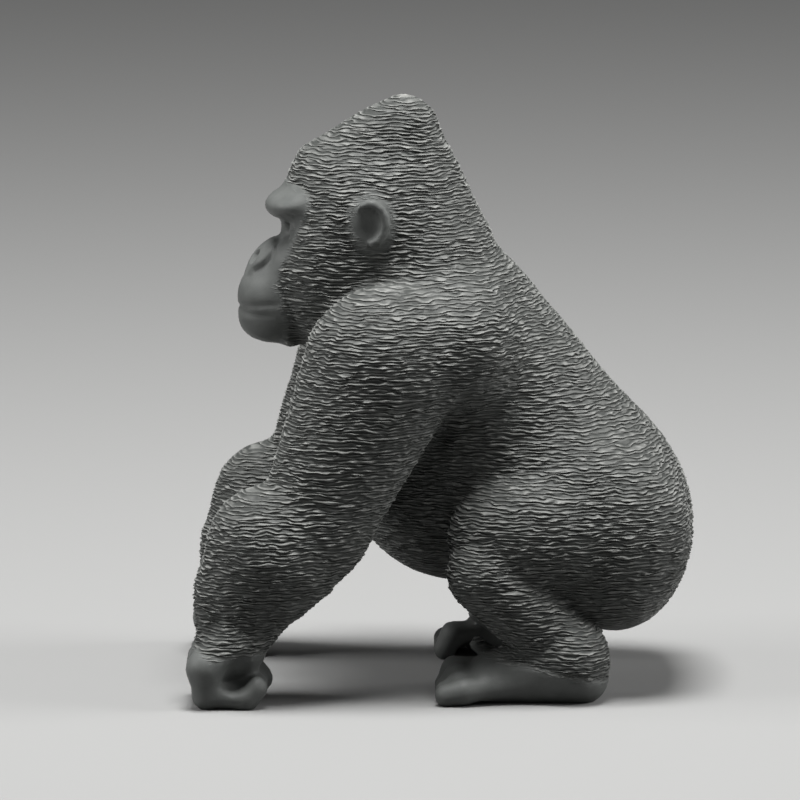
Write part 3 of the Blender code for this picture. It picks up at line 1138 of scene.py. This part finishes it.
@dataclass(frozen=True)
class Sculpt:
    """The whole figure: each sub-assembly's masses, and how they flow into each other."""

    torso: Torso = Torso()
    head: Head = Head()
    face: Face = Face()
    ear: Ear = Ear()
    arm: Arm = Arm()
    hand: Hand = Hand()
    leg: Leg = Leg()
    foot: Foot = Foot()
    hair_line: float = 0.0009

    @staticmethod
    def left_half(points: Rows) -> Rows:
        """Gives each place's own or mirrored place on the left side."""
        return np.column_stack((np.abs(points[:, 0]), points[:, 1:]))

    def surface(self, points: Rows) -> Rows:
        """Measures how far points are from the finished surface.

        Args:
            points: One place a row.

        Returns:
            Distance of each place, less than nothing inside.
        """
        half = self.left_half(points)
        trunk = melt(self.torso.masses(), half)
        field = melt_two(trunk, melt(self.head.masses(), half), self.head.neck_blend)
        field = carve(field, [self.torso.armpit()], half)
        field = melt_two(field, melt(self.face.masses(), half), self.face.blend)
        field = carve(field, self.face.hollows(), half)
        field = melt_in(field, [self.face.eyeball()], half)
        field = field + sum(groove.dent(half) for groove in self.face.grooves())
        leaf = carve(melt(self.ear.masses(), half), self.ear.hollows(), half)
        field = melt_two(field, leaf, self.ear.blend)
        fist = carve(melt(self.hand.masses(), half), self.hand.hollows(), half)
        fist = fist + sum(groove.dent(half) for groove in self.hand.grooves())
        limb = melt_two(melt(self.arm.masses(), half), fist, self.hand.blend)
        field = melt_two(field, limb, self.arm.shoulder_blend)
        field = melt_in(field, [self.arm.blade_mass(), self.leg.thigh_mass()], half)
        shank = melt([self.leg.shank_mass(), *self.foot.sole_masses()], half)
        foot = melt_two(shank, melt(self.foot.toe_masses(), half), self.foot.toe_blend)
        return melt_two(field, foot, self.leg.shank_blend)

    def bare(self, points: Rows) -> Rows:
        """Finds bare skin.

        Args:
            points: One place a row.

        Returns:
            Share of bare skin at each place.
        """
        half = self.left_half(points)
        parts = (self.face, self.ear, self.hand, self.foot)
        nearest = np.min([part.bareness(half) for part in parts], axis=0)
        return fade(nearest, self.hair_line)

    def build(self, node: Object, clay: Clay, coat: Coat) -> Object:
        """Models the figure: even skin, fitted skin, combed coat, level feet.

        Args:
            node: The plain casting.
            clay: How finely it is drawn.
            coat: The coat.

        Returns:
            The figure.
        """
        figure = clay.lay(node, PIECE)
        clay.reskin(figure, clay.rough_step)
        clay.fit(figure, self, clay.fitting_steps)
        clay.reskin(figure, clay.fine_step, clay.upright)
        clay.fit(figure, self)
        clay.mark_bare(figure, self)
        coat.comb(figure)
        clay.level(figure)
        clay.thin(figure)
        clay.mark_bare(figure, self)
        clay.smooth_skin(figure)
        return figure


@dataclass(frozen=True)
class ResinFinish:
    """Dull dark grey casting resin, with a painted highlight on the strands' crests and painted
    shade between them.
    """

    skin: Point = (0.160, 0.167, 0.160)
    skin_shade: Point = (0.128, 0.135, 0.129)
    blotch: float = 0.0016
    blotch_detail: float = 3.0
    blotch_contrast: float = 2.5
    blotch_shift: float = -0.75
    grain: float = 0.00022
    grain_detail: float = 2.0
    grain_bump: float = 0.000012
    # A paler patch round the tip of the crest, fading out over its reach.
    pale_tip_centre: Point = (0.0, -0.0036, 0.0601)
    pale_tip_reach: float = 0.0011
    pale_tip: Point = (0.40, 0.40, 0.38)
    # Painted highlight on the coat's crests and painted shade in the grooves between the strands.
    crest: Point = (0.310, 0.315, 0.300)
    groove: Point = (0.062, 0.066, 0.062)
    roughness: float = 0.55
    specular: float = 0.35
    bump: float = 0.00016

    def material(self, coat: Coat) -> bpy.types.Material:
        """Mixes the finish.

        Args:
            coat: The coat that it covers.

        Returns:
            The material.
        """
        material = bpy.data.materials.new("dark grey resin")
        material.use_nodes = True
        wiring = Wiring(material.node_tree)
        shader = material.node_tree.nodes["Principled BSDF"]
        place = wiring.add("ShaderNodeTexCoord").outputs["Object"]
        bare = wiring.add("ShaderNodeAttribute", attribute_name=BARE).outputs["Fac"]
        height = coat.height(wiring, place)
        share = coat.cover(wiring, height, bare)
        spots = wiring.noise(place, (self.blotch,) * 3, self.blotch_detail)
        contrast, shift = self.blotch_contrast, self.blotch_shift
        blotches = wiring.math("MULTIPLY_ADD", spots, contrast, shift, clamp=True)
        skin = wiring.mix(blotches, self.skin_shade, self.skin)
        # The coat's colour runs from painted shade in the grooves to a painted highlight on the
        # crests.
        colour = wiring.mix(share, skin, wiring.mix(height, self.groove, self.crest))
        # Mixes the paler patch in round the tip of the crest.
        away = wiring.vector("DISTANCE", place, self.pale_tip_centre)
        pale_tip = wiring.math("MULTIPLY_ADD", away, -1.0 / self.pale_tip_reach, 1.0, clamp=True)
        wiring.feed(shader.inputs["Base Color"], wiring.mix(pale_tip, colour, self.pale_tip))
        bump = wiring.add("ShaderNodeBump")
        bump.inputs["Distance"].default_value = self.bump
        grain = wiring.noise(place, (self.grain,) * 3, self.grain_detail)
        combed = wiring.math("MULTIPLY", height, share)
        raised = wiring.math("MULTIPLY_ADD", grain, self.grain_bump / self.bump, combed)
        wiring.feed(bump.inputs["Height"], raised)
        wiring.feed(shader.inputs["Normal"], bump.outputs["Normal"])
        shader.inputs["Roughness"].default_value = self.roughness
        shader.inputs["Specular IOR Level"].default_value = self.specular
        return material


class Lamp(Enum):
    """The studio's soft boxes."""

    OVERHEAD = "overhead soft box"
    FRONT = "front soft box"
    REAR = "rear soft box"


@dataclass(frozen=True)
class SoftBox:
    """One soft box: which it is, where it hangs, its width and its power."""

    kind: Lamp
    place: Point
    width: float
    watts: float


@dataclass(frozen=True)
class Studio:
    """Plain pale floor, soft boxes, and the camera that stands square to the left side."""

    aim: Point = (0.0, -0.00408, 0.0287)
    distance: float = 0.80
    elevation: float = 9.5
    pixels_per_metre: float = 9806.0
    picture_width: float = 800.0
    sensor_width: float = 36.0
    nearest: float = 0.01
    farthest: float = 20.0
    boxes: tuple[SoftBox, ...] = (
        SoftBox(Lamp.OVERHEAD, (0.04, 0.0, 0.44), 0.18, 2.45),
        SoftBox(Lamp.FRONT, (0.06, -0.60, 0.36), 0.30, 1.9),
        SoftBox(Lamp.REAR, (0.03, 0.60, 0.36), 0.30, 2.2),
    )
    lamp_aim: Point = (0.0, 0.0, 0.03)
    floor_size: float = 6.0
    floor_roughness: float = 0.9
    floor_colour: Point = (0.38, 0.38, 0.375)
    floor_bounce: Point = (0.08, 0.08, 0.08)
    air: Point = (0.092, 0.092, 0.092)
    backdrop: Point = (0.60, 0.60, 0.59)

    def camera(self) -> None:
        """Stands the camera."""
        data = bpy.data.cameras.new("camera")
        data.sensor_width = self.sensor_width
        data.lens = self.sensor_width * self.distance * self.pixels_per_metre / self.picture_width
        data.clip_start = self.nearest
        data.clip_end = self.farthest
        camera = add_object("camera", data)
        turn = math.radians(self.elevation)
        back = Vector((math.cos(turn), 0.0, math.sin(turn)))
        camera.location = Vector(self.aim) + back * self.distance
        camera.rotation_euler = (-back).to_track_quat("-Z", "Y").to_euler()
        bpy.context.scene.camera = camera

    def lamp(self, box: SoftBox) -> None:
        """Hangs a soft box so that it faces the figure.

        Args:
            box: The soft box.
        """
        data = bpy.data.lights.new(box.kind.value, "AREA")
        data.shape = "SQUARE"
        data.size = box.width
        data.energy = box.watts
        lamp = add_object(box.kind.value, data)
        lamp.location = box.place
        towards = Vector(self.lamp_aim) - Vector(box.place)
        lamp.rotation_euler = towards.to_track_quat("-Z", "Y").to_euler()

    def floor(self) -> None:
        """Lays the floor."""
        shape = bmesh.new()
        bmesh.ops.create_grid(shape, x_segments=2, y_segments=2, size=self.floor_size / 2)
        mesh = bpy.data.meshes.new("floor")
        shape.to_mesh(mesh)
        shape.free()
        floor = add_object("floor", mesh)
        material = bpy.data.materials.new("pale card")
        material.use_nodes = True
        wiring = Wiring(material.node_tree)
        shader = material.node_tree.nodes["Principled BSDF"]
        path = wiring.add("ShaderNodeLightPath").outputs
        seen = wiring.math("MAXIMUM", path["Is Camera Ray"], path["Is Glossy Ray"])
        seen = wiring.math("MAXIMUM", seen, path["Is Transmission Ray"])
        colour = wiring.mix(seen, self.floor_bounce, self.floor_colour)
        wiring.feed(shader.inputs["Base Color"], colour)
        shader.inputs["Roughness"].default_value = self.floor_roughness
        mesh.materials.append(material)

    def air_light(self) -> None:
        """Fills the studio with soft light, and shows a pale backdrop to the camera."""
        world = bpy.data.worlds.new("studio")
        bpy.context.scene.world = world
        world.use_nodes = True
        wiring = Wiring(world.node_tree)
        sky = world.node_tree.nodes["Background"]
        camera_ray = wiring.add("ShaderNodeLightPath").outputs["Is Camera Ray"]
        wiring.feed(sky.inputs["Color"], wiring.mix(camera_ray, self.air, self.backdrop))

    def build(self) -> None:
        """Sets up floor, lights, backdrop and camera."""
        self.floor()
        self.air_light()
        for box in self.boxes:
            self.lamp(box)
        self.camera()
        bpy.context.scene.view_settings.view_transform = "Standard"


def main() -> None:
    """Builds the figure and the studio, in order."""
    logging.basicConfig(level=logging.INFO, format="%(name)s: %(message)s")
    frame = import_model()
    coat = Coat()
    clay = Clay()
    figure = Sculpt().build(frame["nodes"][NODE], clay, coat)
    figure.data.materials.clear()
    figure.data.materials.append(ResinFinish().material(coat))
    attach(figure, BODY)
    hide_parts(NODE)
    log.info("%s: %d triangles", figure.name, len(figure.data.polygons))
    Studio().build()
    log.info("studio: floor, three soft boxes and camera")


if __name__ == "__main__":
    main()
